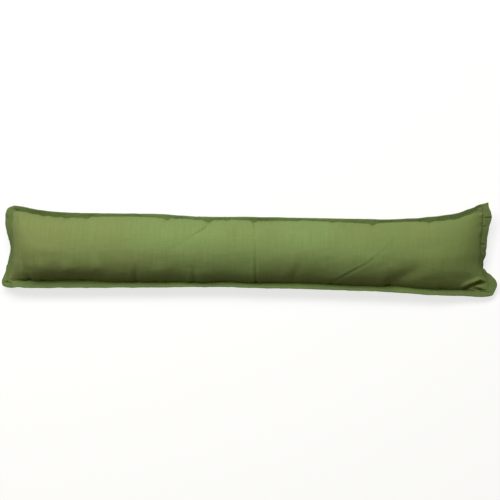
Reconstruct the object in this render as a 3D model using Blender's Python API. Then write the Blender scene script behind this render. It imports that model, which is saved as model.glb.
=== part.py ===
"""Draught excluder: a long stuffed cushion with a flat strip of the same cloth sewn into its edge seam.

It lies on its back with its length along X and the face up. +Y is the far long side. The face panel and
the back panel meet in one seam that runs all the way round, and the edge strip stands out of that seam.
Two solids are made: filled_cover, the two panels with their filling, and edge_strip.
Metres throughout.
"""

import math
from collections import namedtuple

import bmesh
import bpy
from mathutils import Vector

# Driving dimensions of the cloth pieces.
PANEL_LENGTH = 0.878  # between the end seams, flat
PANEL_WIDTH = 0.160  # between the long seams, flat
STRIP_THICKNESS = 0.0024  # cloth folded double, with its turned-in edges
SEAM_GAP = 0.0013  # from the seam line to the strip's root

# Driving dimensions of the filled shape.
FACE_RISE = 0.0425  # crown of the face above the line between the two long seams
BACK_DROP = 0.046  # the back panel below that line, before the floor flattens it
NEAR_OVERHANG = 0.0008  # how far the filled panels swell out past the near seam
FAR_OVERHANG = 0.0034  # and past the far seam
OVERHANG_REACH = 0.006  # height over which they do
FLOOR_ROUND = 0.003  # half height of the rounding beside the flat that it rests on
END_BEND = 0.160  # over this length the end seams bend the cushion
FULL_FOLD_HEIGHT = 0.012  # folds fade out where the face is lower than this over the seam

# How finely the surfaces are stepped.
STATIONS = 116  # along the length
ROWS = 20  # across one panel, from seam to seam
END_CROWDING = 0.30  # stations lie closer near the ends, as a share
SEAM_CROWDING = 0.45  # rows lie closer near the seams, as a share

# The seam, once round, seen from above and starting at the near left corner. tilt is how many degrees
# the edge strip leans up from the level there, or droops where it is negative. strip is how far it
# stands out of the seam, and corner marks the four corners of the panels.
Seam = namedtuple("Seam", "x y z tilt strip corner")
SEAM_LINE = [
    Seam(-0.439, -0.055, 0.021, -20, 0.010, True),
    Seam(-0.424, -0.056, 0.023, 26, 0.012, False),
    Seam(-0.383, -0.056, 0.0255, 20, 0.012, False),
    Seam(-0.330, -0.0545, 0.026, 16, 0.013, False),
    Seam(-0.270, -0.0565, 0.026, 18, 0.011, False),
    Seam(-0.060, -0.0555, 0.026, 20, 0.0105, False),
    Seam(0.030, -0.057, 0.026, 18, 0.0115, False),
    Seam(0.130, -0.0595, 0.026, 18, 0.011, False),
    Seam(0.275, -0.066, 0.0245, 20, 0.0105, False),
    Seam(0.331, -0.0695, 0.0215, 20, 0.011, False),
    Seam(0.383, -0.0705, 0.0165, 14, 0.0105, False),
    Seam(0.418, -0.072, 0.0125, 8, 0.010, False),
    Seam(0.435, -0.071, 0.0105, 4, 0.010, True),
    Seam(0.436, -0.060, 0.012, 6, 0.0135, False),
    Seam(0.4305, -0.048, 0.015, -14, 0.0105, False),
    Seam(0.424, -0.0385, 0.0195, -28, 0.0075, False),
    Seam(0.4195, -0.030, 0.0235, -62, 0.0095, False),
    Seam(0.4185, -0.019, 0.026, -48, 0.011, False),
    Seam(0.419, -0.004, 0.029, -32, 0.012, False),
    Seam(0.420, 0.018, 0.032, -32, 0.012, False),
    Seam(0.423, 0.042, 0.033, -26, 0.0125, False),
    Seam(0.4245, 0.060, 0.033, -18, 0.0165, False),
    Seam(0.4245, 0.0755, 0.0335, -6, 0.016, True),
    Seam(0.419, 0.0735, 0.035, 14, 0.0105, False),
    Seam(0.409, 0.069, 0.0385, 20, 0.010, False),
    Seam(0.395, 0.063, 0.042, 24, 0.011, False),
    Seam(0.377, 0.0565, 0.0455, 26, 0.011, False),
    Seam(0.331, 0.049, 0.049, 24, 0.011, False),
    Seam(0.257, 0.044, 0.050, 27, 0.011, False),
    Seam(0.202, 0.0445, 0.050, 23, 0.011, False),
    Seam(0.000, 0.0485, 0.050, 25, 0.011, False),
    Seam(-0.089, 0.049, 0.050, 27, 0.011, False),
    Seam(-0.161, 0.0535, 0.050, 25, 0.011, False),
    Seam(-0.290, 0.0555, 0.050, 26, 0.011, False),
    Seam(-0.345, 0.0575, 0.0495, 28, 0.011, False),
    Seam(-0.383, 0.063, 0.0475, 36, 0.011, False),
    Seam(-0.416, 0.070, 0.043, 34, 0.0105, False),
    Seam(-0.429, 0.069, 0.040, -10, 0.012, True),
    Seam(-0.4305, 0.057, 0.039, -28, 0.014, False),
    Seam(-0.430, 0.036, 0.0375, -40, 0.012, False),
    Seam(-0.427, 0.009, 0.0345, -54, 0.011, False),
    Seam(-0.4285, -0.019, 0.0295, -44, 0.011, False),
    Seam(-0.4335, -0.040, 0.0245, -36, 0.011, False),
]

# How full the filling is along the length: face and back are shares of FACE_RISE and BACK_DROP. slope is
# how the face comes down to the near seam, from 0.5 for a half ellipse to 1 for a parabola.
Filling = namedtuple("Filling", "x face back slope")
FILLINGS = [
    Filling(-0.444, 0.86, 0.86, 0.60),
    Filling(-0.360, 0.98, 0.97, 0.72),
    Filling(-0.200, 1.01, 1.00, 0.84),
    Filling(0.000, 0.99, 1.00, 0.94),
    Filling(0.200, 0.96, 1.00, 0.92),
    Filling(0.300, 0.80, 0.97, 0.80),
    Filling(0.380, 0.68, 0.88, 0.70),
    Filling(0.444, 0.58, 0.80, 0.60),
]

# How each end closes: reach is the length over which it rounds off, and blunt its power, from 0.5 for
# a round end to 1 for a sharp one.
End = namedtuple("End", "reach blunt")
LEFT_END = End(0.062, 0.56)
RIGHT_END = End(0.095, 0.62)

# Corners where there is little filling: the share of the thickness left at the middle of the corner.
Corner = namedtuple("Corner", "x y radius left")
FLAT_CORNERS = [
    Corner(0.444, -0.077, 0.046, 0.10),
    Corner(0.434, 0.081, 0.040, 0.45),
    Corner(-0.438, 0.075, 0.030, 0.55),
    Corner(-0.442, -0.058, 0.046, 0.30),
]

# Folds of the face, each a soft trough, or a ridge where its depth is negative, along a straight line
# from (x1, y1) to (x2, y2). width is its half width.
Fold = namedtuple("Fold", "x1 y1 x2 y2 depth width")
FACE_FOLDS = [
    Fold(-0.103, 0.026, -0.073, 0.046, 0.0024, 0.007),  # short slanting crease under the far seam
    Fold(-0.151, -0.012, -0.103, 0.026, 0.0008, 0.012),
    Fold(0.011, -0.048, 0.011, -0.010, 0.0014, 0.010),  # upright fold in the middle
    Fold(0.012, 0.030, 0.011, 0.046, 0.0010, 0.008),
    Fold(0.083, -0.046, 0.099, -0.012, 0.0020, 0.012),
    Fold(0.154, -0.056, 0.214, -0.024, 0.0024, 0.008),  # long slanting crease
    Fold(0.214, -0.024, 0.283, 0.034, 0.0010, 0.009),
    Fold(0.252, -0.062, 0.274, -0.036, 0.0050, 0.016),  # broad dent near the right end
    Fold(0.274, -0.036, 0.306, -0.023, 0.0030, 0.015),
    Fold(0.385, -0.072, 0.409, -0.064, 0.0034, 0.008),  # tuck over the flat corner
    Fold(0.409, -0.064, 0.425, -0.057, 0.0050, 0.008),
    Fold(0.413, -0.067, 0.428, -0.064, -0.0026, 0.006),
    Fold(-0.427, 0.066, -0.411, 0.056, 0.0016, 0.006),  # pleat at the far left corner
]


def clear_scene():
    for obj in list(bpy.data.objects):
        bpy.data.objects.remove(obj)


def cloth_material(name, red, green, blue):
    """Matt woven cotton."""
    material = bpy.data.materials.new(name)
    material.use_nodes = True
    shader = material.node_tree.nodes["Principled BSDF"]
    shader.inputs["Base Color"].default_value = (red, green, blue, 1.0)
    shader.inputs["Roughness"].default_value = 0.85
    shader.inputs["Metallic"].default_value = 0.0
    return material


def ease(t):
    """0 to 1 with level ends."""
    t = min(1.0, max(0.0, t))
    return t * t * (3.0 - 2.0 * t)


def between(rows, x, column):
    """A column of a table that is sorted by x, eased from row to row."""
    for low, high in zip(rows, rows[1:]):
        if x <= high.x:
            share = ease((x - low.x) / (high.x - low.x))
            return getattr(low, column) + share * (getattr(high, column) - getattr(low, column))
    return getattr(rows[-1], column)


def crowded(count, crowding):
    """count steps from 0 to 1 that lie closer together at both ends."""
    steps = [i / count for i in range(count + 1)]
    return [t - crowding * math.sin(2.0 * math.pi * t) / (2.0 * math.pi) for t in steps]


def seam_side(first):
    """The rows of SEAM_LINE from its corner number first to the next corner, with one row more past each."""
    corners = [i for i, row in enumerate(SEAM_LINE) if row.corner]
    start = corners[first]
    stop = corners[(first + 1) % 4] or len(SEAM_LINE)
    return [SEAM_LINE[i % len(SEAM_LINE)] for i in range(start - 1, stop + 2)]


def through(rows, share):
    """The point, the strip's tilt and its width at a share of the length along one side of the seam.

    The curve passes through each row, and its direction there follows the rows on both sides."""
    points = [Vector((row.x, row.y, row.z)) for row in rows]
    lengths = [(b - a).length for a, b in zip(points, points[1:])]
    left = share * sum(lengths[1:-1])
    i = 1
    while i < len(points) - 3 and left > lengths[i]:
        left -= lengths[i]
        i += 1
    t = min(1.0, left / lengths[i])
    leave = (points[i + 1] - points[i - 1]) * lengths[i] / (lengths[i - 1] + lengths[i])
    reach = (points[i + 2] - points[i]) * lengths[i] / (lengths[i] + lengths[i + 1])
    point = (
        points[i] * (2 * t**3 - 3 * t**2 + 1)
        + leave * (t**3 - 2 * t**2 + t)
        + points[i + 1] * (3 * t**2 - 2 * t**3)
        + reach * (t**3 - t**2)
    )
    tilt = rows[i].tilt + ease(t) * (rows[i + 1].tilt - rows[i].tilt)
    width = rows[i].strip + ease(t) * (rows[i + 1].strip - rows[i].strip)
    return point, tilt, width


NEAR, RIGHT, FAR, LEFT = (seam_side(i) for i in range(4))


def seam_sheet(u, v):
    """A point of the sheet that the seam would span if the cushion were empty: u along, v across.

    It is straight across between the long seams, and bends to each end seam within END_BEND of it."""
    near, far = through(NEAR, u)[0], through(FAR, 1.0 - u)[0]
    point = near.lerp(far, v)
    left, right = through(LEFT, 1.0 - v)[0], through(RIGHT, v)[0]
    straight_left = through(LEFT, 1.0)[0].lerp(through(LEFT, 0.0)[0], v)
    straight_right = through(RIGHT, 0.0)[0].lerp(through(RIGHT, 1.0)[0], v)
    point += (left - straight_left) * (1.0 - ease(u * PANEL_LENGTH / END_BEND))
    point += (right - straight_right) * (1.0 - ease((1.0 - u) * PANEL_LENGTH / END_BEND))
    return point


def end_share(u):
    """How far the ends let the filling rise, from 0 at an end seam to 1 away from it."""
    share = 1.0
    for end, away in ((LEFT_END, u), (RIGHT_END, 1.0 - u)):
        near = max(0.0, 1.0 - away * PANEL_LENGTH / end.reach)
        share *= max(0.0, 1.0 - near * near) ** end.blunt
    return share


def corner_share(x, y):
    """How far the flat corners let the filling rise."""
    share = 1.0
    for corner in FLAT_CORNERS:
        away = math.hypot(x - corner.x, y - corner.y) / corner.radius
        share *= corner.left + (1.0 - corner.left) * ease(away)
    return share


def fold_depth(x, y):
    """How deep the folds of the face are at a point."""
    depth = 0.0
    for fold in FACE_FOLDS:
        run = Vector((fold.x2 - fold.x1, fold.y2 - fold.y1))
        to_point = Vector((x - fold.x1, y - fold.y1))
        t = min(1.0, max(0.0, to_point.dot(run) / run.length_squared))
        away = (to_point - run * t).length / fold.width
        depth += fold.depth * math.exp(-away * away)
    return depth


def on_floor(z):
    """Heights under the floor pressed flat onto it, with a rounding beside the flat."""
    if z >= FLOOR_ROUND:
        return z
    if z <= -FLOOR_ROUND:
        return 0.0
    return (z + FLOOR_ROUND) ** 2 / (4.0 * FLOOR_ROUND)


def panel_point(u, across, side):
    """A point of the filled cushion. across runs from 0 at the near seam to 1 at the far seam.

    side is 1 on the face and -1 on the back."""
    angle = (across - 0.5) * math.pi
    v = 0.5 + 0.5 * math.sin(angle)
    seam = seam_sheet(u, v)
    near, far = seam_sheet(u, 0.0), seam_sheet(u, 1.0)
    chord = far - near
    outward = Vector((0.0, chord.y, chord.z)).normalized()
    up = Vector((0.0, -outward.z, outward.y))
    plump = end_share(u) * corner_share(seam.x, seam.y)
    column, size = ("face", FACE_RISE) if side > 0 else ("back", BACK_DROP)
    arch = max(0.0, math.cos(angle))
    if side > 0 and across < 0.5:
        arch **= 2.0 * between(FILLINGS, seam.x, "slope")
    height = size * between(FILLINGS, seam.x, column) * plump * arch
    from_seam = min(across, 1.0 - across) * PANEL_WIDTH
    overhang = FAR_OVERHANG if across > 0.5 else NEAR_OVERHANG
    swell = overhang * plump * (1.0 - math.exp(-((from_seam / OVERHANG_REACH) ** 2)))
    if side > 0:
        fold = fold_depth(seam.x, seam.y) * ease(height / FULL_FOLD_HEIGHT)
        height = max(0.1 * height, height - fold)
    point = seam + outward * (swell * math.sin(angle)) + up * (side * height)
    point.z = on_floor(point.z)
    return point


def wrapped_grid(name, columns, rows, place):
    """A closed mesh from a grid whose points are set by place(column, row), welded where they meet."""
    mesh = bpy.data.meshes.new(name)
    bm = bmesh.new()
    bmesh.ops.create_grid(bm, x_segments=columns, y_segments=rows, size=0.5)
    for vert in bm.verts:
        column = round((vert.co.x + 0.5) * columns)
        row = round((vert.co.y + 0.5) * rows)
        vert.co = place(column, row)
    bmesh.ops.remove_doubles(bm, verts=bm.verts, dist=1e-6)
    bmesh.ops.dissolve_degenerate(bm, edges=bm.edges, dist=1e-6)
    bmesh.ops.recalc_face_normals(bm, faces=bm.faces)
    bm.to_mesh(mesh)
    bm.free()
    mesh.shade_smooth()
    obj = bpy.data.objects.new(name, mesh)
    bpy.context.scene.collection.objects.link(obj)
    return obj


def filled_cover():
    """Both panels with the filling, as one solid: a grid wrapped once round, closed at the end seams."""
    along = crowded(STATIONS, END_CROWDING)
    across = crowded(ROWS, SEAM_CROWDING)

    def place(column, row):
        if row <= ROWS:
            return panel_point(along[column], across[row], 1)
        return panel_point(along[column], across[2 * ROWS - row], -1)

    return wrapped_grid("filled_cover", STATIONS, 2 * ROWS, place)


def strip_path():
    """Points of the seam once round, each with the level way out of the cushion, the tilt and the width."""
    along = crowded(STATIONS, END_CROWDING)
    across = [0.5 - 0.5 * math.cos(math.pi * t) for t in crowded(ROWS, SEAM_CROWDING)]
    path = []
    for side, steps in ((NEAR, along), (RIGHT, across), (FAR, along), (LEFT, across)):
        path += [through(side, step) for step in steps[:-1]]
    stations = []
    for i, (point, tilt, width) in enumerate(path):
        onward, back = path[(i + 1) % len(path)][0] - point, point - path[i - 1][0]
        run = onward.normalized() + back.normalized()
        out = Vector((run.y, -run.x, 0.0)).normalized()
        stations.append((point, out, math.radians(tilt), width))
    return stations


# Outline of the strip across its width: out is the share of the width, up the share of the half thickness.
Edge = namedtuple("Edge", "out up")
STRIP_SECTION = [
    Edge(0.0, 0.30),
    Edge(0.25, 0.90),
    Edge(1.0, 0.60),
    Edge(1.0, -0.60),
    Edge(0.25, -0.90),
    Edge(0.0, -0.30),
]


def edge_strip():
    """The flat strip that stands out of the seam, one closed ring."""
    path = strip_path()

    def place(column, row):
        point, out, tilt, width = path[column % len(path)]
        edge = STRIP_SECTION[row % len(STRIP_SECTION)]
        along_strip = out * math.cos(tilt) + Vector((0.0, 0.0, math.sin(tilt)))
        off_strip = out * -math.sin(tilt) + Vector((0.0, 0.0, math.cos(tilt)))
        reach = SEAM_GAP + edge.out * (width - SEAM_GAP)
        return point + along_strip * reach + off_strip * (edge.up * STRIP_THICKNESS / 2)

    return wrapped_grid("edge_strip", len(path), len(STRIP_SECTION), place)


def main():
    clear_scene()
    filled_cover().data.materials.append(cloth_material("cover_cotton", 0.22, 0.29, 0.115))
    edge_strip().data.materials.append(cloth_material("strip_cotton", 0.17, 0.24, 0.085))


main()
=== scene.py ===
# A stuffed draught excluder in olive cotton, lying on its back. Its face and back panels are sewn
# together with a flat strip of the same cloth caught in the seam all round.
import math
from collections import namedtuple

import bmesh
import bpy
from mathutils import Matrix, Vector, noise
from mathutils.bvhtree import BVHTree


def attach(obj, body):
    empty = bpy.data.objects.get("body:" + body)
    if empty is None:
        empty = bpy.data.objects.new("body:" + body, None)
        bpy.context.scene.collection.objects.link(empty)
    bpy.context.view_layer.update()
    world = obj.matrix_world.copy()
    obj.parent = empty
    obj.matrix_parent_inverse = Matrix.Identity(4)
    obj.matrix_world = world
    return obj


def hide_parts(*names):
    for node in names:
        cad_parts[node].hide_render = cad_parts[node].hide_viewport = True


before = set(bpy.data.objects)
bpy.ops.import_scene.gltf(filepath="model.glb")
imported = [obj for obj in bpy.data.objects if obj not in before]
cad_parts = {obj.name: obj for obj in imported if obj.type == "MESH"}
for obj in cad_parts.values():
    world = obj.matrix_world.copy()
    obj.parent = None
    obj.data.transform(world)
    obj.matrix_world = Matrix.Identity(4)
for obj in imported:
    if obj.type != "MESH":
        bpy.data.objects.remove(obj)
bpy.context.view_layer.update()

sameSpot = 1e-6             # two points nearer than this are one


def ease(t):
    t = min(1.0, max(0.0, t))
    return t * t * (3.0 - 2.0 * t)


def hexToLinear(text):
    # sRGB hex to the linear values that the shaders want
    def channel(pair):
        value = int(pair, 16) / 255.0
        return value / 12.92 if value <= 0.04045 else ((value + 0.055) / 1.055) ** 2.4
    text = text.lstrip("#")
    return tuple(channel(text[i:i + 2]) for i in (0, 2, 4)) + (1.0,)


def addNode(tree, kind, settings=None, links=None):
    # links maps an input's name or number to a number, a colour or another node's output
    node = tree.nodes.new(kind)
    for key, value in (settings or {}).items():
        setattr(node, key, value)
    for key, value in (links or {}).items():
        if isinstance(value, bpy.types.NodeSocket):
            tree.links.new(value, node.inputs[key])
        else:
            node.inputs[key].default_value = value
    return node


def linkObject(name, mesh):
    obj = bpy.data.objects.new(name, mesh)
    bpy.context.scene.collection.objects.link(obj)
    return obj


# the camera, at the photo's angle
view = {
    "frame": 500,           # the photo's width and height in pixels
    "elevation": 82.0,
    "lens": 99.0,
    "sensor": 36.0,
    "distance": 2.474,
    "target": (0.0013, 0.0000, 0.0420),
}


def cameraBack():
    # from the target to the camera
    angle = math.radians(view["elevation"])
    return Vector((0.0, -math.cos(angle), math.sin(angle)))


def seenAt(tree, column, row):
    # where the line of sight through a photo pixel meets a piece, or else the nearest point of it
    back = cameraBack()
    up = Vector((0.0, back.z, -back.y))
    middle, focal = view["frame"] / 2, view["lens"] / view["sensor"] * view["frame"]
    sight = (Vector((column - middle, 0.0, 0.0)) + up * (middle - row) - back * focal).normalized()
    eye = Vector(view["target"]) + back * view["distance"]
    hit = tree.ray_cast(eye, sight)[0]
    return hit or tree.find_nearest(eye + sight * view["distance"])[0]


crease = namedtuple("crease", "column1 row1 column2 row2 depth1 depth2 width lip")
creaseForm = {
    # in widths of the crease
    "lipAt": 2.0,           # the soft ridge stands this far beside it
    "fadeAside": 5.0,       # nothing of it is left this far beside it
    "fadeBeyond": 4.0,      # or this far past its ends
}


def surfaceOf(obj):
    mesh = obj.data
    outlines = [face.vertices[:] for face in mesh.polygons]
    return BVHTree.FromPolygons([vert.co for vert in mesh.vertices], outlines)


def laidOn(obj, creases):
    # each crease with its two ends on the piece that it runs over
    tree = surfaceOf(obj)
    laid = []
    for row in creases:
        start, end = seenAt(tree, row.column1, row.row1), seenAt(tree, row.column2, row.row2)
        laid.append((start, end, row))
    return laid


def creaseDepth(laid, x, y):
    # the deepest trough here, less the proudest lip, so that creases that meet don't add up
    deepest, proudest = 0.0, 0.0
    for start, end, row in laid:
        runX, runY = end.x - start.x, end.y - start.y
        length = math.hypot(runX, runY)
        along = ((x - start.x) * runX + (y - start.y) * runY) / length
        off = ((y - start.y) * runX - (x - start.x) * runY) / length
        beyond = max(0.0, -along, along - length)
        if beyond > creaseForm["fadeBeyond"] * row.width or abs(off) > creaseForm["fadeAside"] * row.width:
            continue
        share = min(1.0, max(0.0, along / length))
        depth = (row.depth1 + share * (row.depth2 - row.depth1)) * math.exp(-((beyond / row.width) ** 2))
        ridge = math.exp(-((off / row.width - creaseForm["lipAt"]) ** 2))
        deepest = max(deepest, depth * math.exp(-((off / row.width) ** 2)))
        proudest = max(proudest, depth * row.lip * ridge)
    return deepest - proudest


# the cushion's shape, in the sizes of its solids
shape = {
    "panelLength": 0.878,
    "panelWidth": 0.160,
    "faceRise": 0.0425,
    "backDrop": 0.046,
    "nearOverhang": -0.0010,
    "farOverhang": 0.0034,
    "overhangReach": 0.006,
    "floorRound": 0.003,
    "endBend": 0.160,
}

seamPoint = namedtuple("seamPoint", "x y z tilt strip corner")
seamLine = [
    # once round from the near left corner; strip is its width there, tilt how far it leans up, in degrees
    seamPoint(-0.439, -0.055, 0.021, -20, 0.010, True),
    seamPoint(-0.424, -0.0535, 0.023, 26, 0.0145, False),
    seamPoint(-0.383, -0.0545, 0.0255, 20, 0.0135, False),
    seamPoint(-0.330, -0.0545, 0.026, 16, 0.013, False),
    seamPoint(-0.270, -0.0565, 0.026, 18, 0.011, False),
    seamPoint(-0.060, -0.0555, 0.026, 20, 0.0105, False),
    seamPoint(0.030, -0.057, 0.026, 18, 0.0115, False),
    seamPoint(0.130, -0.0595, 0.026, 18, 0.011, False),
    seamPoint(0.275, -0.066, 0.0245, 20, 0.0105, False),
    seamPoint(0.331, -0.0695, 0.0215, 20, 0.011, False),
    seamPoint(0.383, -0.0705, 0.0165, 14, 0.0105, False),
    seamPoint(0.418, -0.072, 0.0125, 8, 0.010, False),
    seamPoint(0.435, -0.071, 0.0105, 4, 0.010, True),
    seamPoint(0.436, -0.060, 0.012, 6, 0.0135, False),
    seamPoint(0.4305, -0.048, 0.015, -14, 0.0105, False),
    seamPoint(0.424, -0.0385, 0.0195, -28, 0.0075, False),
    seamPoint(0.4195, -0.030, 0.0235, -62, 0.0095, False),
    seamPoint(0.4185, -0.019, 0.026, -48, 0.011, False),
    seamPoint(0.419, -0.004, 0.029, -32, 0.012, False),
    seamPoint(0.420, 0.018, 0.032, -32, 0.012, False),
    seamPoint(0.423, 0.042, 0.033, -26, 0.0125, False),
    seamPoint(0.4245, 0.060, 0.033, -18, 0.0165, False),
    seamPoint(0.4245, 0.070, 0.0335, -12, 0.014, False),
    seamPoint(0.4245, 0.0755, 0.0335, -6, 0.0095, True),
    seamPoint(0.419, 0.0735, 0.035, 14, 0.0105, False),
    seamPoint(0.409, 0.069, 0.0385, 20, 0.010, False),
    seamPoint(0.395, 0.063, 0.042, 24, 0.011, False),
    seamPoint(0.377, 0.0565, 0.0455, 26, 0.011, False),
    seamPoint(0.331, 0.049, 0.049, 24, 0.011, False),
    seamPoint(0.257, 0.044, 0.050, 27, 0.011, False),
    seamPoint(0.202, 0.0445, 0.050, 23, 0.011, False),
    seamPoint(0.000, 0.0485, 0.050, 25, 0.011, False),
    seamPoint(-0.089, 0.049, 0.050, 27, 0.011, False),
    seamPoint(-0.161, 0.0535, 0.050, 25, 0.011, False),
    seamPoint(-0.290, 0.0555, 0.050, 26, 0.011, False),
    seamPoint(-0.345, 0.0575, 0.0495, 28, 0.011, False),
    seamPoint(-0.383, 0.063, 0.0475, 36, 0.011, False),
    seamPoint(-0.416, 0.070, 0.043, 34, 0.0105, False),
    seamPoint(-0.429, 0.069, 0.040, -10, 0.012, True),
    seamPoint(-0.4305, 0.057, 0.039, -28, 0.014, False),
    seamPoint(-0.430, 0.036, 0.0375, -40, 0.012, False),
    seamPoint(-0.427, 0.009, 0.0345, -54, 0.011, False),
    seamPoint(-0.4285, -0.019, 0.0295, -44, 0.011, False),
    seamPoint(-0.4335, -0.040, 0.0245, -36, 0.011, False),
]

fullness = namedtuple("fullness", "x face back slope")
fillings = [
    # slope is how the face comes down to the near seam: 0.5 a half ellipse, 1 a parabola
    fullness(-0.444, 0.86, 0.86, 0.60),
    fullness(-0.360, 0.98, 0.97, 0.72),
    fullness(-0.200, 1.01, 1.00, 0.84),
    fullness(0.000, 0.99, 1.00, 0.94),
    fullness(0.200, 0.96, 1.00, 0.92),
    fullness(0.300, 0.80, 0.97, 0.80),
    fullness(0.380, 0.68, 0.88, 0.70),
    fullness(0.444, 0.58, 0.80, 0.60),
]

endShape = namedtuple("endShape", "reach blunt")
leftEnd = endShape(0.054, 0.52)
rightEnd = endShape(0.095, 0.62)

flatCorner = namedtuple("flatCorner", "x y radius left")
flatCorners = [
    # the filling hardly reaches the corners: left is the share of it at the middle of each
    flatCorner(0.444, -0.077, 0.046, 0.10),
    flatCorner(0.434, 0.081, 0.040, 0.45),
    flatCorner(-0.438, 0.075, 0.030, 0.55),
    flatCorner(-0.442, -0.058, 0.046, 0.30),
]


# the filling leaves a soft crest along the face; places are shares of half the width, 0 in the middle
crest = {
    "height": 0.0010,
    "at": 0.04,
    "width": 0.18,
}


def between(rows, x, column):
    for low, high in zip(rows, rows[1:]):
        if x <= high.x:
            share = ease((x - low.x) / (high.x - low.x))
            return getattr(low, column) + share * (getattr(high, column) - getattr(low, column))
    return getattr(rows[-1], column)


def seamSide(first):
    corners = [i for i, row in enumerate(seamLine) if row.corner]
    start = corners[first]
    stop = corners[(first + 1) % 4] or len(seamLine)
    return [seamLine[i % len(seamLine)] for i in range(start - 1, stop + 2)]


def through(rows, share):
    # point, tilt and strip width at a share of one side of the seam, on a smooth curve through its rows
    # that starts and ends straight, so that the corners stay sharp
    points = [Vector((row.x, row.y, row.z)) for row in rows]
    lengths = [(b - a).length for a, b in zip(points, points[1:])]
    left = share * sum(lengths[1:-1])
    i = 1
    while i < len(points) - 3 and left > lengths[i]:
        left -= lengths[i]
        i += 1
    t = min(1.0, left / lengths[i])
    leave, reach = points[i + 1] - points[i], points[i + 1] - points[i]
    if i > 1:
        leave = (points[i + 1] - points[i - 1]) * lengths[i] / (lengths[i - 1] + lengths[i])
    if i < len(points) - 3:
        reach = (points[i + 2] - points[i]) * lengths[i] / (lengths[i] + lengths[i + 1])
    point = (
        points[i] * (2 * t**3 - 3 * t**2 + 1)
        + leave * (t**3 - 2 * t**2 + t)
        + points[i + 1] * (3 * t**2 - 2 * t**3)
        + reach * (t**3 - t**2)
    )
    tilt = rows[i].tilt + ease(t) * (rows[i + 1].tilt - rows[i].tilt)
    return point, tilt, rows[i].strip + ease(t) * (rows[i + 1].strip - rows[i].strip)


nearSide, rightSide, farSide, leftSide = (seamSide(i) for i in range(4))


def seamSheet(u, v):
    # the sheet that the seam would span if the cushion were empty
    near, far = through(nearSide, u)[0], through(farSide, 1.0 - u)[0]
    point = near.lerp(far, v)
    length, bend = shape["panelLength"], shape["endBend"]
    if u * length < bend:
        straight = through(leftSide, 1.0)[0].lerp(through(leftSide, 0.0)[0], v)
        point += (through(leftSide, 1.0 - v)[0] - straight) * (1.0 - ease(u * length / bend))
    if (1.0 - u) * length < bend:
        straight = through(rightSide, 0.0)[0].lerp(through(rightSide, 1.0)[0], v)
        point += (through(rightSide, v)[0] - straight) * (1.0 - ease((1.0 - u) * length / bend))
    return point


def endShare(u):
    share = 1.0
    for end, away in ((leftEnd, u), (rightEnd, 1.0 - u)):
        near = max(0.0, 1.0 - away * shape["panelLength"] / end.reach)
        share *= max(0.0, 1.0 - near * near) ** end.blunt
    return share


def cornerShare(x, y):
    share = 1.0
    for corner in flatCorners:
        away = math.hypot(x - corner.x, y - corner.y) / corner.radius
        share *= corner.left + (1.0 - corner.left) * ease(away)
    return share


def onFloor(z):
    flat = shape["floorRound"]
    if z >= flat:
        return z
    return 0.0 if z <= -flat else (z + flat) ** 2 / (4.0 * flat)


def panelPoint(u, across, side):
    # side is 1 on the face and -1 on the back
    angle = (across - 0.5) * math.pi
    seam = seamSheet(u, 0.5 + 0.5 * math.sin(angle))
    chord = seamSheet(u, 1.0) - seamSheet(u, 0.0)
    outward = Vector((0.0, chord.y, chord.z)).normalized()
    up = Vector((0.0, -outward.z, outward.y))
    plump = endShare(u) * cornerShare(seam.x, seam.y)
    column, size = ("face", shape["faceRise"]) if side > 0 else ("back", shape["backDrop"])
    arch = max(0.0, math.cos(angle))
    if side > 0 and across < 0.5:
        arch **= 2.0 * between(fillings, seam.x, "slope")
    height = size * between(fillings, seam.x, column) * plump * arch
    if side > 0:
        fromCrest = (math.sin(angle) - crest["at"]) / crest["width"]
        height += crest["height"] * plump * math.exp(-(fromCrest ** 2))
    fromSeam = min(across, 1.0 - across) * shape["panelWidth"]
    overhang = shape["farOverhang"] if across > 0.5 else shape["nearOverhang"]
    swell = overhang * plump * (1.0 - math.exp(-((fromSeam / shape["overhangReach"]) ** 2)))
    return seam + outward * (swell * math.sin(angle)) + up * (side * height)


# the cover: two panels cut flat, sewn together and filled
cover = {
    "cellsAlong": 264,      # cells of about 3.5 mm before the last subdivision
    "cellsAcross": 44,
    "frames": 36,
    "quality": 8,           # steps in each frame
    "pressure": 2.5,
    "pointMass": 0.01,
    "stretchStiffness": 15.0,
    "shearShare": 0.4,      # shear stiffness, as a share of that
    "bendStiffness": 0.3,
    "slack": 1.045,         # the cloth is this much longer than the seam that gathers it
    "shake": 0.0003,        # the cloth starts a little uneven
    "shakeFineness": 90.0,
    "heldWithin": 1e-5,     # points this near to the seam are held
    "mostMove": 0.006,      # no point moves further than this from the filled shape
    "foldStart": 0.006,     # creases and lumps are full this far from the seam
}

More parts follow.
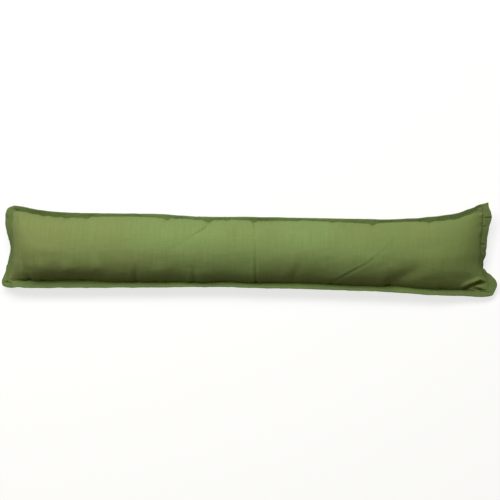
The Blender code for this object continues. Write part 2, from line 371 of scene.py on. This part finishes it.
faceCreases = [
    # each runs between two pixels of the photo while its depth changes; lip is the soft ridge beside it
    crease(167, 253, 193, 236, 0.0002, 0.0008, 0.0060, 0.0),
    crease(193, 236, 206, 228, 0.0012, 0.0020, 0.0022, 0.8),  # slanting crease, far seam
    crease(256, 281, 256, 262, 0.0012, 0.0010, 0.0024, 0.8),  # upright crease, middle
    crease(256, 262, 256, 240, 0.0010, 0.0005, 0.0026, 0.6),
    crease(255, 238, 255, 224, 0.0005, 0.0012, 0.0024, 0.6),
    crease(136, 281, 137, 264, 0.0020, 0.0004, 0.0050, 0.3),
    crease(194, 281, 195, 264, 0.0020, 0.0004, 0.0050, 0.3),
    crease(294, 278, 303, 258, 0.0014, 0.0006, 0.0080, 0.2),
    crease(333, 282, 355, 270, 0.0005, 0.0006, 0.0020, 0.7),  # long slanting crease
    crease(355, 270, 369, 263, 0.0006, 0.0003, 0.0020, 0.8),
    crease(369, 263, 388, 247, 0.0003, 0.0002, 0.0024, 0.9),
    crease(388, 247, 406, 231, 0.0002, 0.0001, 0.0026, 0.9),
    crease(392, 288, 405, 277, 0.0030, 0.0032, 0.0120, 0.2),  # broad dent, right end
    crease(405, 277, 423, 268, 0.0032, 0.0010, 0.0110, 0.2),
    crease(22, 261, 28, 280, 0.0010, 0.0020, 0.0050, 0.3),  # where the left end meets the belly
    crease(464, 290, 480, 283, 0.0026, 0.0052, 0.0034, 0.6),  # tuck over the flat corner
    crease(480, 283, 484, 284, 0.0052, 0.0016, 0.0030, 0.6),
    crease(474, 288, 482, 291, 0.0018, 0.0026, 0.0024, 0.6),
    crease(16, 211, 22, 214, 0.0028, 0.0014, 0.0026, 0.8),  # pleat, far left corner
]

lump = namedtuple("lump", "column row height long wide")
lumps = [
    # soft lumps and hollows of the loose filling along the near side
    lump(82, 280, -0.0026, 0.050, 0.013),
    lump(42, 268, 0.0024, 0.012, 0.012),
    lump(67, 268, 0.0024, 0.012, 0.012),
    lump(95, 267, 0.0022, 0.014, 0.012),
    lump(160, 270, 0.0018, 0.016, 0.012),
    lump(200, 278, 0.0026, 0.028, 0.013),
    lump(250, 278, 0.0016, 0.030, 0.013),
    lump(350, 280, 0.0014, 0.028, 0.013),
]

gather = namedtuple("gather", "side x depth width length")
gathers = [
    # the deeper gathers that run out of the seam into the face: side 1 is the far seam, -1 the near one
    gather(1, -0.369, 0.0020, 0.005, 0.020),
    gather(1, -0.327, 0.0022, 0.006, 0.022),
    gather(1, -0.291, 0.0022, 0.005, 0.018),
    gather(1, -0.147, 0.0020, 0.006, 0.018),
    gather(1, -0.131, 0.0018, 0.005, 0.018),
    gather(1, -0.073, 0.0028, 0.006, 0.022),
    gather(1, -0.040, 0.0014, 0.005, 0.016),
    gather(1, 0.008, 0.0022, 0.005, 0.020),
    gather(1, 0.084, 0.0012, 0.007, 0.016),
    gather(1, 0.150, 0.0014, 0.006, 0.018),
    gather(1, 0.222, 0.0022, 0.005, 0.024),
    gather(1, 0.322, 0.0020, 0.006, 0.020),
    gather(1, 0.372, 0.0014, 0.007, 0.018),
    gather(-1, -0.395, 0.0026, 0.005, 0.022),
    gather(-1, -0.372, 0.0020, 0.005, 0.018),
    gather(-1, -0.300, 0.0014, 0.006, 0.018),
    gather(-1, -0.170, 0.0016, 0.006, 0.020),
    gather(-1, 0.010, 0.0022, 0.005, 0.022),
    gather(-1, 0.148, 0.0018, 0.005, 0.020),
    gather(-1, 0.250, 0.0020, 0.007, 0.022),
    gather(-1, 0.345, 0.0016, 0.005, 0.018),
]
gatherForm = {
    # in widths of the gather
    "ridgeAt": 1.7,         # a soft ridge stands this far on either side
    "ridgeShare": 0.30,     # with this share of the gather's depth
    "fade": 4.0,            # nothing of it is left this far away
}

seamRipple = {
    "depth": 0.0009,        # of the small gathers that run all along the seam
    "noiseGain": 1.6,       # the noise seldom comes near 1, so this brings them to about that depth
    "spacing": 0.010,
    "reach": 0.013,         # how far into the panel they run
    "start": 0.003,         # they begin this far from the seam line
    "sway": (0.1, 0.6, 0.8),  # some are deeper than others: least, middle, and by how much they vary
    "swayLength": 0.060,
    "rippleSeed": (7.3, 3.1),  # steps through the noise from side to side, and from the face to the back
    "swaySeed": (5.1, 1.7),
}

loftUnevenness = {
    "height": 0.0010,       # the loose filling shows through as faint lumps
    "length": 0.045,
}


scallop = {
    "most": 0.0043,         # how far the cover swells out over the strip between two deep gathers
    "deepGather": 0.0020,
    "gap": 0.045,           # gathers closer together than this hold the cover back
    "fullGap": 0.070,
    "start": 0.009,         # full this far from the seam
    "reach": 0.013,         # and gone about twice this far beyond
    "fade": 3.0,            # it isn't worked out further than this many reaches
}


def sewCover():
    # a grid wrapped once round: the face, then the back, welded along the seam
    along, across = cover["cellsAlong"], cover["cellsAcross"]
    bm = bmesh.new()
    uvLayer = bm.loops.layers.uv.new("UVMap")
    bmesh.ops.create_grid(bm, x_segments=along, y_segments=2 * across, size=0.5)
    cutPlace = bm.verts.layers.float_vector.new("cutPlace")
    length, width = shape["panelLength"], shape["panelWidth"]
    for face in bm.faces:
        for loop in face.loops:
            u, v = loop.vert.co.x + 0.5, loop.vert.co.y + 0.5
            loop[uvLayer].uv = (u * length, v * 2.0 * width)
    for vert in bm.verts:
        u, v = vert.co.x + 0.5, 2.0 * (vert.co.y + 0.5)
        side, v = (1, v) if v <= 1.0 + sameSpot else (-1, 2.0 - v)
        fromSeam = min(u * length, (1.0 - u) * length, v * width, (1.0 - v) * width)
        vert[cutPlace] = (u * length, v * width, side * max(0.0, fromSeam))
        vert.co = panelPoint(u, v, side)
    bmesh.ops.remove_doubles(bm, verts=bm.verts, dist=sameSpot)
    bmesh.ops.recalc_face_normals(bm, faces=bm.faces)
    mesh = bpy.data.meshes.new("filledCover")
    bm.to_mesh(mesh)
    bm.free()
    return linkObject("filledCover", mesh)


def fillCover(obj):
    # the seam is held, the panels remember the size that they were cut to, and the filling pushes out
    mesh = obj.data
    start = [vert.co.copy() for vert in mesh.vertices]
    places = [Vector(item.vector) for item in mesh.attributes["cutPlace"].data]
    for vert, point in zip(mesh.vertices, start):
        vert.co = point + noise.noise_vector(point * cover["shakeFineness"]) * cover["shake"]
    held = obj.vertex_groups.new(name="seam")
    held.add([i for i, place in enumerate(places) if abs(place.z) < cover["heldWithin"]], 1.0, "REPLACE")
    obj.shape_key_add(name="filled")
    cut = obj.shape_key_add(name="cut")
    for point, place in zip(cut.data, places):
        point.co = (place.x * cover["slack"], place.y, 0.0)
    cloth = obj.modifiers.new("filling", "CLOTH")
    settings = cloth.settings
    settings.quality = cover["quality"]
    settings.mass = cover["pointMass"]
    settings.tension_stiffness = cover["stretchStiffness"]
    settings.compression_stiffness = cover["stretchStiffness"]
    settings.shear_stiffness = cover["shearShare"] * cover["stretchStiffness"]
    settings.bending_stiffness = cover["bendStiffness"]
    settings.use_pressure = True
    settings.uniform_pressure_force = cover["pressure"]
    settings.vertex_group_mass = "seam"
    settings.rest_shape_key = cut
    settings.effector_weights.gravity = 0.0
    cloth.collision_settings.use_collision = False
    cloth.collision_settings.use_self_collision = False
    scene = bpy.context.scene
    cloth.point_cache.frame_start, cloth.point_cache.frame_end = 1, cover["frames"]
    for frameNumber in range(1, cover["frames"] + 1):
        scene.frame_set(frameNumber)
    settled = obj.evaluated_get(bpy.context.evaluated_depsgraph_get()).to_mesh()
    moves = [settled.vertices[i].co - start[i] for i in range(len(start))]
    obj.modifiers.remove(cloth)
    obj.shape_key_clear()
    most = cover["mostMove"]
    for vert, point, move in zip(mesh.vertices, start, moves):
        if move.length > 1e-9:
            move *= most * math.tanh(move.length / most) / move.length
        vert.co = point + move
    print("  largest move", round(max(move.length for move in moves) * 1000, 1), "mm")
    scene.frame_set(1)


def refine(obj):
    # one subdivision, made real so that the folds can be pressed into it
    divide = obj.modifiers.new("finer", "SUBSURF")
    divide.levels = divide.render_levels = 1
    finer = bpy.data.meshes.new_from_object(obj.evaluated_get(bpy.context.evaluated_depsgraph_get()))
    obj.modifiers.remove(divide)
    finer.name = obj.name
    obj.data = finer


def gatherDepth(place, x, side):
    # how far the seam draws the cloth in, by the distance from the seam
    away = abs(place.z)
    length, width = shape["panelLength"], shape["panelWidth"]
    toLong, toEnd = min(place.y, width - place.y), min(place.x, length - place.x)
    alongSeam = place.x if toLong < toEnd else place.y
    if toLong < toEnd:
        bank = 1.0 if place.y > width / 2 else 2.0
    else:
        bank = 3.0 if place.x > length / 2 else 4.0
    bankStep, sideStep = seamRipple["rippleSeed"]
    ripple = noise.noise(Vector((alongSeam / seamRipple["spacing"], bankStep * bank, sideStep * side)))
    bankStep, sideStep = seamRipple["swaySeed"]
    swayNoise = noise.noise(Vector((alongSeam / seamRipple["swayLength"], bankStep * bank, sideStep * side)))
    least, middle, varies = seamRipple["sway"]
    sway = max(least, middle + varies * swayNoise)
    fade = math.exp(-((away / seamRipple["reach"]) ** 2))
    depth = seamRipple["noiseGain"] * seamRipple["depth"] * sway * ripple * fade
    if toLong < toEnd and side > 0:
        edge = 1 if place.y > width / 2 else -1
        for row in gathers:
            if row.side == edge and abs(x - row.x) < gatherForm["fade"] * row.width:
                off = abs(x - row.x) / row.width
                ridge = gatherForm["ridgeShare"] * math.exp(-((off - gatherForm["ridgeAt"]) ** 2))
                dip = math.exp(-off * off) - ridge
                depth += row.depth * dip * math.exp(-((away / row.length) ** 2))
    return depth * ease(away / seamRipple["start"])


def scallopShift(place, x):
    # along the far seam the cover swells out in one arc from each deep gather to the next
    away = shape["panelWidth"] - place.y
    beyond = max(0.0, away - scallop["start"]) / scallop["reach"]
    if place.z <= 0.0 or beyond > scallop["fade"]:
        return 0.0
    deep = sorted(row.x for row in gathers if row.side == 1 and row.depth >= scallop["deepGather"])
    for left, right in zip(deep, deep[1:]):
        if left < x < right:
            wide = ease((right - left - scallop["gap"]) / (scallop["fullGap"] - scallop["gap"]))
            arc = math.sqrt(math.sin(math.pi * (x - left) / (right - left)))
            return scallop["most"] * wide * arc * ease(away / scallop["start"]) * math.exp(-beyond * beyond)
    return 0.0


def pressFolds(obj):
    mesh = obj.data
    places = [Vector(item.vector) for item in mesh.attributes["cutPlace"].data]
    normals = [vert.normal.copy() for vert in mesh.vertices]
    laid = laidOn(obj, faceCreases)
    tree = surfaceOf(obj)
    humps = [(seenAt(tree, row.column, row.row), row) for row in lumps]
    for vert, place, normal in zip(mesh.vertices, places, normals):
        side = 1 if place.z > 0 else -1
        depth = gatherDepth(place, vert.co.x, side)
        inside = ease(abs(place.z) / cover["foldStart"])
        if side > 0:
            depth += creaseDepth(laid, vert.co.x, vert.co.y) * inside
            for middle, row in humps:
                off = ((vert.co.x - middle.x) / row.long) ** 2 + ((vert.co.y - middle.y) / row.wide) ** 2
                depth -= row.height * math.exp(-off) * inside
        depth += loftUnevenness["height"] * noise.noise(vert.co / loftUnevenness["length"]) * inside
        vert.co.y += scallopShift(place, vert.co.x)
        vert.co -= normal * depth
        vert.co.z = onFloor(vert.co.z)
    mesh.update()


coverObject = sewCover()
print("cover sewn:", len(coverObject.data.vertices), "points")
fillCover(coverObject)
print("cover filled")
refine(coverObject)
pressFolds(coverObject)
coverObject.data.shade_smooth()
print("folds pressed:", len(coverObject.data.polygons), "faces")


# the edge strip: cloth folded double, caught in the seam all round
strip = {
    "width": 0.0112,        # on average; the seam line gives it place by place
    "thickness": 0.0020,
    "pitch": 0.0012,        # length of one cell
    "cornerTurn": 8,        # rounds of smoothing of the way out at the corners
    "pointReach": 0.012,    # how far from the far right corner its edges are kept straight
    "leastTurn": 0.55,      # there it is widened by no more than 1 over this
    "sway": 7.0,            # degrees that its tilt wanders by
    "swayLength": 0.045,
    "flutter": 5.0,         # and by shorter waves
    "flutterLength": 0.013,
    "flutterSeed": (3.0, 0.0, 8.0),  # where in the noise these are read, away from the others
    "ripple": 0.0005,       # the cloth itself waves, most at the free edge
    "rippleLength": 0.0065,
    "rippleSeed": (9.0, 0.0, 4.0),
    "uneven": 0.05,         # share that its width varies by
    "unevenLength": 0.022,
    "crumpled": 2.2,        # all of it this much stronger round the ends
    "crumpleFrom": 0.385,   # distance from the middle at which that begins
    "crumpleRise": 0.03,    # and over which it grows
    "clothRound": 2.2,      # cloth once round its section, in widths of the strip
    "floorGap": 0.0004,     # it stays this far above the floor
}

edge = namedtuple("edge", "out up")
stripSection = [
    # outline across the strip: share of its width, share of its half thickness; the root is under 0
    edge(-0.20, 0.40),
    edge(0.03, 0.70),
    edge(0.20, 0.72),
    edge(0.40, 0.70),
    edge(0.60, 0.74),
    edge(0.80, 0.86),
    edge(0.93, 0.92),
    edge(0.99, 0.55),
    edge(1.00, 0.00),
    edge(0.99, -0.55),
    edge(0.93, -0.92),
    edge(0.80, -0.86),
    edge(0.60, -0.74),
    edge(0.40, -0.70),
    edge(0.20, -0.72),
    edge(0.03, -0.70),
    edge(-0.20, -0.40),
]

stripCreases = [
    # pinched folds of the strip where it is gathered round the corners, again by photo pixels
    crease(478, 208, 481, 207, 0.0022, 0.0020, 0.0016, 0.5),   # far right corner
    crease(483, 208, 486, 213, 0.0026, 0.0020, 0.0016, 0.6),
    crease(486, 218, 491, 218, 0.0020, 0.0016, 0.0014, 0.6),
    crease(482, 227, 485, 227, 0.0016, 0.0016, 0.0018, 0.3),   # right end
    crease(480, 244, 484, 245, 0.0016, 0.0016, 0.0018, 0.3),
    crease(479, 256, 482, 257, 0.0016, 0.0016, 0.0018, 0.3),
    crease(12, 210, 16, 210, 0.0010, 0.0022, 0.0018, 0.6),     # far left corner
    crease(16, 210, 19, 212, 0.0022, 0.0012, 0.0018, 0.6),
    crease(4, 282, 10, 283, 0.0018, 0.0024, 0.0016, 0.6),      # near left corner
    crease(17, 283, 20, 283, 0.0022, 0.0022, 0.0016, 0.5),
    crease(24, 284, 31, 284, 0.0022, 0.0022, 0.0016, 0.5),
    crease(33, 284, 40, 284, 0.0018, 0.0022, 0.0016, 0.5),
    crease(481, 291, 489, 293, 0.0022, 0.0018, 0.0018, 0.5),   # near right corner
]


def seamPath():
    # points about one cell apart once round the seam, with the level way out, the tilt and the width
    path = []
    for side in (nearSide, rightSide, farSide, leftSide):
        points = [Vector((row.x, row.y, row.z)) for row in side[1:-1]]
        steps = round(sum((b - a).length for a, b in zip(points, points[1:])) / strip["pitch"])
        path += [through(side, i / steps) for i in range(steps)]
    stations = []
    for i, (point, tilt, width) in enumerate(path):
        onward, back = path[(i + 1) % len(path)][0] - point, point - path[i - 1][0]
        run = onward.normalized() + back.normalized()
        stations.append([point, Vector((run.y, -run.x, 0.0)).normalized(), tilt, width])
    squareOuts = [row[1] for row in stations]
    # at a corner the way out turns over a short stretch, not in one step
    for _ in range(strip["cornerTurn"]):
        outs = [row[1] for row in stations]
        for i, row in enumerate(stations):
            row[1] = (outs[i - 1] + 2.0 * outs[i] + outs[(i + 1) % len(outs)]).normalized()
    # the far right corner is folded to a point: its outer edges run straight up to the tip
    tip = through(farSide, 0.0)[0]
    for i, row in enumerate(stations):
        if (row[0] - tip).length < strip["pointReach"]:
            square = squareOuts[i - 1] if (row[0] - tip).length < sameSpot else squareOuts[i]
            row[3] /= max(strip["leastTurn"], row[1].dot(square))
    return stations


def sewStrip():
    stations = seamPath()
    count, turns = len(stations), len(stripSection)
    length = count * strip["pitch"]
    bm = bmesh.new()
    uvLayer = bm.loops.layers.uv.new("UVMap")
    bmesh.ops.create_grid(bm, x_segments=count, y_segments=turns, size=0.5)
    for face in bm.faces:
        for loop in face.loops:
            u, v = loop.vert.co.x + 0.5, loop.vert.co.y + 0.5
            loop[uvLayer].uv = (u * length, v * strip["clothRound"] * strip["width"])
    for vert in bm.verts:
        column = round((vert.co.x + 0.5) * count) % count
        part = stripSection[round((vert.co.y + 0.5) * turns) % turns]
        point, out, tilt, width = stations[column]
        # noise is read on a ring as long as the strip, so that it closes
        turn = 2.0 * math.pi * column / count
        ring = Vector((math.cos(turn), math.sin(turn), 0.0)) * length / (2.0 * math.pi)
        towardsEnd = ease((abs(point.x) - strip["crumpleFrom"]) / strip["crumpleRise"])
        crumple = 1.0 + (strip["crumpled"] - 1.0) * towardsEnd
        loose = max(0.0, part.out) * crumple
        tilt += strip["sway"] * loose * noise.noise(ring / strip["swayLength"])
        fluttering = ring / strip["flutterLength"] + Vector(strip["flutterSeed"])
        tilt += strip["flutter"] * loose * noise.noise(fluttering)
        lean = math.radians(tilt)
        alongStrip = out * math.cos(lean) + Vector((0.0, 0.0, math.sin(lean)))
        offStrip = out * -math.sin(lean) + Vector((0.0, 0.0, math.cos(lean)))
        seedX, seedY, seedZ = strip["rippleSeed"]
        wave = noise.noise(ring / strip["rippleLength"] + Vector((seedX, seedY, seedZ + part.out)))
        lift = part.up * strip["thickness"] / 2 + strip["ripple"] * loose * wave
        uneven = strip["uneven"] * crumple * noise.noise(ring / strip["unevenLength"])
        reach = part.out * width * (1.0 + uneven)
        # the root goes level into the seam, however the strip leans
        vert.co = point + (alongStrip if part.out > 0.0 else out) * reach + offStrip * lift
        vert.co.z = max(vert.co.z, strip["floorGap"])
    bmesh.ops.remove_doubles(bm, verts=bm.verts, dist=sameSpot)
    bmesh.ops.recalc_face_normals(bm, faces=bm.faces)
    mesh = bpy.data.meshes.new("edgeStrip")
    bm.to_mesh(mesh)
    bm.free()
    mesh.shade_smooth()
    print("strip sewn:", count, "cells round")
    return linkObject("edgeStrip", mesh), length


def pinchStrip(obj):
    # both layers of the strip go down together in a fold
    laid = laidOn(obj, stripCreases)
    for vert in obj.data.vertices:
        vert.co.z = max(vert.co.z - creaseDepth(laid, vert.co.x, vert.co.y), strip["floorGap"])
    obj.data.update()


stripObject, stripLength = sewStrip()
pinchStrip(stripObject)


# washed cotton, in thread and slub sizes
cotton = {
    "cover": "#869C60",
    "coverLeft": "#868F58",  # darker towards the ends as painted shade, and yellower at the left end
    "coverRight": "#7E8E53",
    "coverDeep": "#6A8142",
    # the strip is the same cloth as the cover, painted a little darker and greener as painted shade, and
    # darker still at the ends as painted shade
    "strip": "#7E9758",
    "stripLeft": "#697B46",
    "stripRight": "#6C7B4A",
    "stripDeep": "#5A703A",
    "endShadeFrom": 0.15,        # distance from the middle at which the painted shade of the ends begins
    "endShadeTo": 0.38,          # and at which it is full
    "threadPitch": 0.0018,   # real threads are about 0.5 mm apart, too fine to show at this size
    "slubWidth": 0.0028,
    "slubLength": 0.045,
    "slubHeight": 1.6,       # slubs stand this many times as proud as the threads
    "weftShare": 0.30,       # share of the slubs that run along the cushion, not across it
    "weftSeed": 3.7,
    "fleckSize": 0.003,
    "patchFineness": 11.0,
    "fuzz": 0.08,
    # from which to which value of its pattern each shows, and how strongly at most
    "patches": (0.40, 0.68, 0.60),
    "slubs": (0.42, 0.62, 0.36),
    "flecks": (0.40, 0.75, 0.30),
    "threads": (0.9, 0.1, 0.30),
}
bandLength = 0.314159        # a wave texture has one band in this many of its own units


def plainWeaveCotton(name, main, left, right, deep):
    # plain-weave cotton, piece-dyed and washed: matt, a little fuzzy, with slubs that show as fine streaks
    material = bpy.data.materials.new(name)
    material.use_nodes = True
    tree = material.node_tree
    shader = tree.nodes["Principled BSDF"]
    place = addNode(tree, "ShaderNodeUVMap", {"uv_map": "UVMap"}).outputs["UV"]
    solid = addNode(tree, "ShaderNodeTexCoord").outputs["Object"]

    def streaks(acrossSize, alongSize, offset):
        stretch = addNode(tree, "ShaderNodeMapping", None, {
            "Vector": place, "Location": (offset, offset, 0.0),
            "Scale": (1.0 / acrossSize, 1.0 / alongSize, 1.0)})
        grain = addNode(tree, "ShaderNodeTexNoise", None, {
            "Vector": stretch.outputs["Vector"], "Scale": 1.0, "Detail": 3.0, "Roughness": 0.62})
        return grain.outputs["Fac"]

    def threads(direction):
        return addNode(tree, "ShaderNodeTexWave", {"bands_direction": direction}, {
            "Vector": place, "Scale": bandLength / cotton["threadPitch"], "Distortion": 0.5,
            "Detail": 1.0, "Detail Scale": 0.02}).outputs["Fac"]

    def spread(value, low, high, top):
        return addNode(tree, "ShaderNodeMapRange", None, {
            "Value": value, "From Min": low, "From Max": high, "To Max": top}).outputs["Result"]

    def blend(share, first, second):
        mix = addNode(tree, "ShaderNodeMix", {"data_type": "RGBA"}, {0: share, 6: first, 7: second})
        return mix.outputs[2]

    over = addNode(tree, "ShaderNodeTexChecker", None, {
        "Vector": place, "Scale": 1.0 / cotton["threadPitch"]})
    weave = addNode(tree, "ShaderNodeMix", None,
                    {0: over.outputs["Fac"], 2: threads("X"), 3: threads("Y")}).outputs[0]
    warpSlub = streaks(cotton["slubWidth"], cotton["slubLength"], 0.0)
    weftSlub = streaks(cotton["slubLength"], cotton["slubWidth"], cotton["weftSeed"])
    slub = addNode(tree, "ShaderNodeMix", None,
                   {0: cotton["weftShare"], 2: warpSlub, 3: weftSlub}).outputs[0]
    fleck = addNode(tree, "ShaderNodeTexNoise", None, {
        "Vector": place, "Scale": 1.0 / cotton["fleckSize"], "Detail": 2.0, "Roughness": 0.7}).outputs["Fac"]
    patches = addNode(tree, "ShaderNodeTexNoise", None, {
        "Vector": solid, "Scale": cotton["patchFineness"], "Detail": 2.0, "Roughness": 0.5}).outputs["Fac"]
    along = addNode(tree, "ShaderNodeSeparateXYZ", None, {0: solid}).outputs["X"]
    endShadeFrom, endShadeTo = cotton["endShadeFrom"], cotton["endShadeTo"]
    # towards both ends the colour turns darker: painted shade of the ends
    shadedLeftEnd = blend(spread(along, -endShadeFrom, -endShadeTo, 1.0), hexToLinear(main), hexToLinear(left))
    shadedEnds = blend(spread(along, endShadeFrom, endShadeTo, 1.0), shadedLeftEnd, hexToLinear(right))
    toneAndEndShade = blend(spread(patches, *cotton["patches"]), shadedEnds, hexToLinear(left))
    slubbed = blend(spread(slub, *cotton["slubs"]), toneAndEndShade, hexToLinear(deep))
    flecked = blend(spread(fleck, *cotton["flecks"]), slubbed, hexToLinear(deep))
    woven = blend(spread(weave, *cotton["threads"]), flecked, hexToLinear(deep))
    tree.links.new(woven, shader.inputs["Base Color"])
    height = addNode(tree, "ShaderNodeMath", {"operation": "MULTIPLY_ADD"},
                     {0: slub, 1: cotton["slubHeight"], 2: weave})
    bump = addNode(tree, "ShaderNodeBump", None,
                   {"Height": height.outputs[0], "Strength": 0.5, "Distance": 0.0005})
    tree.links.new(bump.outputs["Normal"], shader.inputs["Normal"])
    shader.inputs["Metallic"].default_value = 0.0
    shader.inputs["Roughness"].default_value = 0.84
    shader.inputs["IOR"].default_value = 1.45
    shader.inputs["Specular IOR Level"].default_value = 0.25
    shader.inputs["Sheen Weight"].default_value = cotton["fuzz"]
    shader.inputs["Sheen Roughness"].default_value = 0.5
    shader.inputs["Sheen Tint"].default_value = hexToLinear(main)
    return material


coverObject.data.materials.clear()
coverObject.data.materials.append(
    plainWeaveCotton("washedCottonCover", *[cotton["cover" + key] for key in ("", "Left", "Right", "Deep")]))
stripObject.data.materials.append(
    plainWeaveCotton("washedCottonStrip", *[cotton["strip" + key] for key in ("", "Left", "Right", "Deep")]))
print("cotton dyed")

standIns = [
    (coverObject, "filled_cover", "cover_cotton"),
    (stripObject, "edge_strip", "strip_cotton"),
]
for piece, node, slot in standIns:
    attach(piece, "root")
    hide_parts(node)


# floor and light
studio = {
    "keyFrom": (-0.50, 1.22, 2.16),
    "keyLong": 2.6,         # a long soft box on the far side, so that both ends stay bright
    "keyWide": 1.0,
    "keyPower": 76.0,
    "fill": "#FFEDAA",      # a little warm light from the room
    "fillStrength": 0.13,
    "floor": "#8E8E8C",
    "floorSize": 4.0,
    "floorGlow": 0.74,
}


def layFloor():
    # a lit white table: its glow lifts the shadow, and it throws no light back on the cushion
    bm = bmesh.new()
    bmesh.ops.create_grid(bm, x_segments=1, y_segments=1, size=studio["floorSize"])
    mesh = bpy.data.meshes.new("floor")
    bm.to_mesh(mesh)
    bm.free()
    floor = linkObject("floor", mesh)
    floor.visible_diffuse = False
    material = bpy.data.materials.new("litWhiteTable")
    material.use_nodes = True
    shader = material.node_tree.nodes["Principled BSDF"]
    shader.inputs["Base Color"].default_value = hexToLinear(studio["floor"])
    shader.inputs["Roughness"].default_value = 0.9
    shader.inputs["Emission Color"].default_value = (1.0, 1.0, 1.0, 1.0)
    shader.inputs["Emission Strength"].default_value = studio["floorGlow"]
    mesh.materials.append(material)


def hangLights():
    light = bpy.data.lights.new("softBox", "AREA")
    light.shape = "RECTANGLE"
    light.size = studio["keyLong"]
    light.size_y = studio["keyWide"]
    light.energy = studio["keyPower"]
    key = bpy.data.objects.new("softBox", light)
    key.location = studio["keyFrom"]
    key.rotation_euler = Vector(studio["keyFrom"]).to_track_quat("Z", "Y").to_euler()
    bpy.context.scene.collection.objects.link(key)
    world = bpy.data.worlds.new("paleRoom")
    world.use_nodes = True
    sky = world.node_tree.nodes["Background"]
    sky.inputs["Color"].default_value = hexToLinear(studio["fill"])
    sky.inputs["Strength"].default_value = studio["fillStrength"]
    bpy.context.scene.world = world


def setCamera():
    camera = bpy.data.cameras.new("camera")
    camera.lens = view["lens"]
    camera.sensor_width = view["sensor"]
    holder = bpy.data.objects.new("camera", camera)
    holder.location = Vector(view["target"]) + cameraBack() * view["distance"]
    holder.rotation_euler = (math.radians(90.0 - view["elevation"]), 0.0, 0.0)
    bpy.context.scene.collection.objects.link(holder)
    bpy.context.scene.camera = holder
    bpy.context.scene.view_settings.view_transform = "Standard"


layFloor()
hangLights()
setCamera()
print("studio ready")
